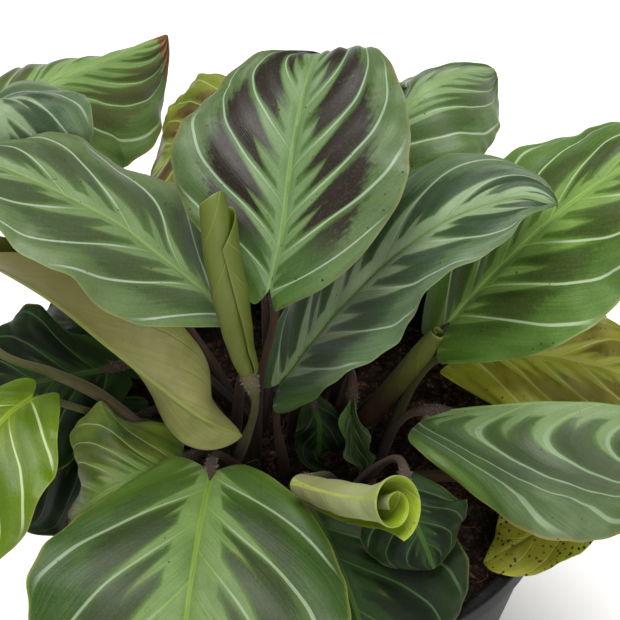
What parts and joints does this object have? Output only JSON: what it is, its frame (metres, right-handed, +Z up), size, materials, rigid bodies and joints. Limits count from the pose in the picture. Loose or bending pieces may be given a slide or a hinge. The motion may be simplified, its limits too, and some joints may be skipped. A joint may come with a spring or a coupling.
{
  "type": "potted prayer plant",
  "caption": "Prayer plant in a round tapered nursery pot: oval leaves on thin stalks, some still rolled, rising from bare soil inside a banded rim.",
  "frame": {"origin": "centre of the pot's flat underside", "axes": "+Z up along the pot's axis; the picture looks along +Y, so the large drooping front leaf points to -Y"},
  "size_m": [0.2216, 0.2275, 0.2184],
  "materials": {
    "pot_plastic": "black, semi-matte, dusty",
    "soil": "moist crumbly potting mix with bark and fibres",
    "leaf_green": "satin, dark blotches and pale veins",
    "leaf_blue_green": "satin, blue-green with pale veins",
    "leaf_bright": "satin, bright green with pale veins",
    "leaf_lime": "satin, yellow-green",
    "leaf_olive": "satin, olive, ageing",
    "leaf_cream": "velvety pale underside",
    "leaf_dark": "satin, dark green"
  },
  "bodies": {
    "root": {"pot": "pot_plastic", "soil": "soil", "leaf_upright": "leaf_green", "leaf_right_folded": "leaf_blue_green", "leaf_left_large": "leaf_green", "leaf_rear_left_pointed": "leaf_green", "leaf_rear_left_arching": "leaf_blue_green", "leaf_rear_olive": "leaf_olive", "leaf_rear_right": "leaf_green", "leaf_right_large": "leaf_bright", "leaf_right_yellowing": "leaf_olive", "leaf_right_drooping": "leaf_green", "leaf_front_large": "leaf_green", "leaf_left_ribbed": "leaf_green", "leaf_left_lime": "leaf_lime", "leaf_left_low": "leaf_dark", "leaf_left_shaded": "leaf_dark", "leaf_unrolling": "leaf_cream", "leaf_rolled_upright": "leaf_lime", "leaf_rolled_front": "leaf_cream", "leaf_rolled_shoot": "leaf_olive", "leaf_front_right": "leaf_bright", "leaf_small_round": "leaf_green", "leaf_small_yellow": "leaf_lime", "leaf_small_folded": "leaf_green", "leaf_inner_hanging": "leaf_dark", "leaf_back_left": "leaf_green", "leaf_back_centre": "leaf_green", "leaf_back_right": "leaf_green", "leaf_back_right_low": "leaf_green", "leaf_back_left_low": "leaf_dark", "leaf_back_centre_low": "leaf_dark"}
  },
  "joints": []
}
